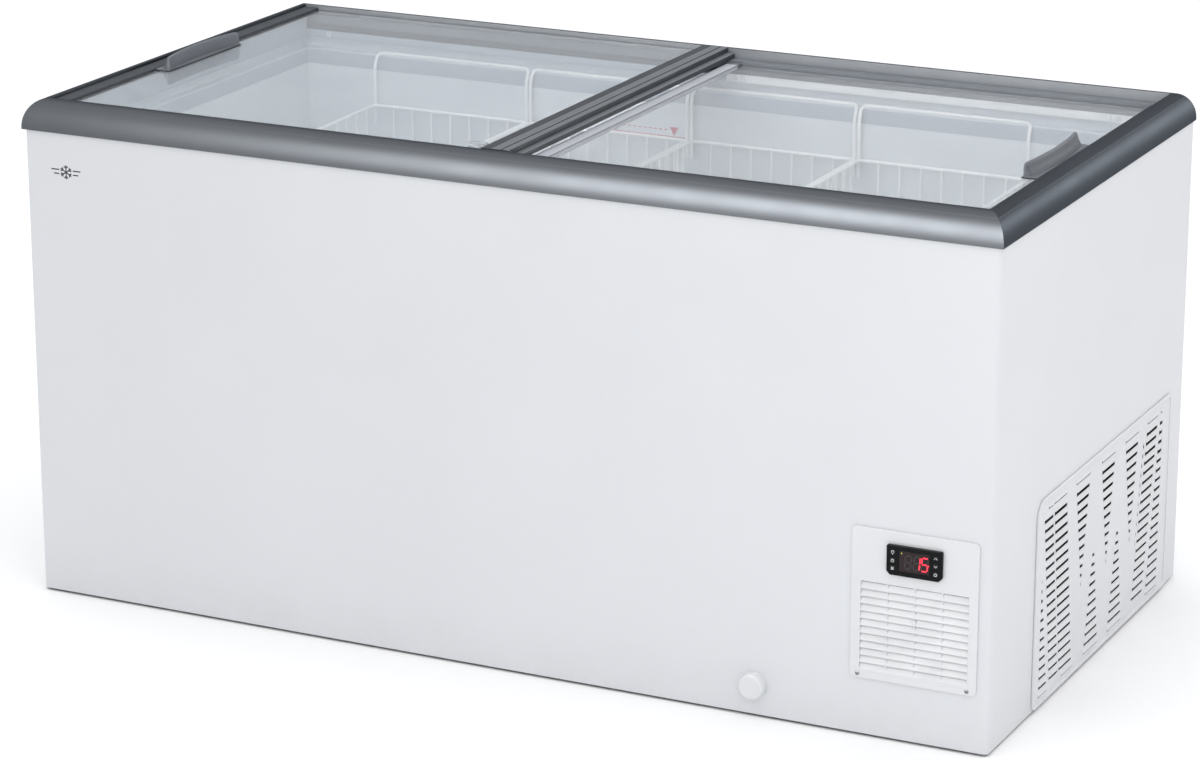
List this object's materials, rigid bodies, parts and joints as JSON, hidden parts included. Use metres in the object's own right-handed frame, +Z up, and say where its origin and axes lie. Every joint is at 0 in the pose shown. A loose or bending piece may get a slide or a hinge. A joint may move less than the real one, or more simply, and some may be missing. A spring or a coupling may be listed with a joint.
{
  "type": "chest freezer",
  "caption": "Commercial chest freezer with sliding flat-glass lids, hanging wire baskets, a front digital controller and louvred vents over a corner compressor compartment.",
  "frame": {"origin": "on the floor under the middle of the freezer", "axes": "+Z up; +X along the length towards the compressor end; the front face with the controller looks along -Y"},
  "size_m": [1.74, 0.946, 0.8823],
  "materials": {
    "white_steel": "satin",
    "galvanised": "satin",
    "white_liner": "satin",
    "foam": "matte",
    "rim_metal": "satin",
    "track_grey": "matte",
    "collar_grey": "satin",
    "lid_glass": "gloss",
    "lid_grey": "satin",
    "clear_plastic": "gloss",
    "white_plastic": "satin",
    "white_wire": "satin",
    "black_plastic": "satin",
    "display": "gloss",
    "dark_screw": "satin",
    "copper": "satin",
    "black_metal": "satin",
    "aluminium_fins": "satin"
  },
  "bodies": {
    "cabinet": {"outer_wrap": "white_steel", "rear_panel": "white_steel", "rear_cover": "white_steel", "base_plate": "galvanised", "skid_left": "black_plastic", "skid_right": "black_plastic", "cord_gland": "black_plastic", "foam_insulation": "foam", "evaporator_coil": "copper", "drain_spout": "white_plastic", "liner_front": "white_liner", "liner_rear": "white_liner", "liner_left": "white_liner", "liner_right": "white_liner", "liner_floor": "white_liner", "liner_step": "white_liner", "rim_front": "rim_metal", "rim_rear": "rim_metal", "rim_left": "rim_metal", "rim_right": "rim_metal", "track_front": "track_grey", "track_rear": "track_grey", "collar_front": "collar_grey", "collar_rear": "collar_grey", "collar_left": "collar_grey", "collar_right": "collar_grey", "front_vent_panel": "white_plastic", "side_vent_panel": "white_plastic", "vent_screw_1": "dark_screw", "vent_screw_2": "dark_screw", "controller_housing": "black_plastic", "controller_window": "display", "compressor": "black_metal", "fan_shroud": "black_metal", "fan_motor": "black_metal", "condenser": "aluminium_fins", "filter_drier": "copper", "discharge_pipe": "copper", "suction_pipe": "copper"},
    "lid_left": {"lid_left_glass": "lid_glass", "lid_left_end_profile": "lid_grey", "lid_left_lap_profile": "lid_grey", "lid_left_handle": "lid_grey", "lid_left_stop_disc": "clear_plastic"},
    "lid_right": {"lid_right_glass": "lid_glass", "lid_right_end_profile": "lid_grey", "lid_right_lap_profile": "clear_plastic", "lid_right_handle": "lid_grey"},
    "basket_1": {"basket_1": "white_wire"},
    "basket_2": {"basket_2": "white_wire"},
    "basket_3": {"basket_3": "white_wire"},
    "basket_4": {"basket_4": "white_wire"},
    "drain_cap": {"drain_cap": "white_plastic"},
    "fan": {"fan_blade": "black_plastic"},
    "key_left_top": {"key_left_top": "black_plastic"},
    "key_left_middle": {"key_left_middle": "black_plastic"},
    "key_left_bottom": {"key_left_bottom": "black_plastic"},
    "key_right_top": {"key_right_top": "black_plastic"},
    "key_right_middle": {"key_right_middle": "black_plastic"},
    "key_right_bottom": {"key_right_bottom": "black_plastic"}
  },
  "joints": [
    {"name": "lid_left_slide", "type": "slide", "parent": "cabinet", "child": "lid_left", "axis": [1, 0, 0], "range_m": [0, 0.735]},
    {"name": "lid_right_slide", "type": "slide", "parent": "cabinet", "child": "lid_right", "axis": [1, 0, 0], "range_m": [-0.735, 0]},
    {"name": "fan_spin", "type": "hinge", "parent": "cabinet", "child": "fan", "pos_m": [0.745, -0.369, 0.155], "axis": [0, -1, 0], "continuous": true},
    {"name": "drain_cap_pull", "type": "slide", "parent": "cabinet", "child": "drain_cap", "axis": [0, -1, 0], "range_m": [0, 0.06]},
    {"name": "basket_1_lift", "type": "slide", "parent": "cabinet", "child": "basket_1", "axis": [0, 0, 1], "range_m": [0, 0.02]},
    {"name": "basket_2_lift", "type": "slide", "parent": "cabinet", "child": "basket_2", "axis": [0, 0, 1], "range_m": [0, 0.02]},
    {"name": "basket_3_lift", "type": "slide", "parent": "cabinet", "child": "basket_3", "axis": [0, 0, 1], "range_m": [0, 0.02]},
    {"name": "basket_4_lift", "type": "slide", "parent": "cabinet", "child": "basket_4", "axis": [0, 0, 1], "range_m": [0, 0.02]},
    {"name": "key_left_top_press", "type": "slide", "parent": "cabinet", "child": "key_left_top", "axis": [0, 1, 0], "range_m": [0, 0.0006], "stiffness_N_per_m": 300},
    {"name": "key_left_middle_press", "type": "slide", "parent": "cabinet", "child": "key_left_middle", "axis": [0, 1, 0], "range_m": [0, 0.0006], "stiffness_N_per_m": 300},
    {"name": "key_left_bottom_press", "type": "slide", "parent": "cabinet", "child": "key_left_bottom", "axis": [0, 1, 0], "range_m": [0, 0.0006], "stiffness_N_per_m": 300},
    {"name": "key_right_top_press", "type": "slide", "parent": "cabinet", "child": "key_right_top", "axis": [0, 1, 0], "range_m": [0, 0.0006], "stiffness_N_per_m": 300},
    {"name": "key_right_middle_press", "type": "slide", "parent": "cabinet", "child": "key_right_middle", "axis": [0, 1, 0], "range_m": [0, 0.0006], "stiffness_N_per_m": 300},
    {"name": "key_right_bottom_press", "type": "slide", "parent": "cabinet", "child": "key_right_bottom", "axis": [0, 1, 0], "range_m": [0, 0.0006], "stiffness_N_per_m": 300}
  ]
}
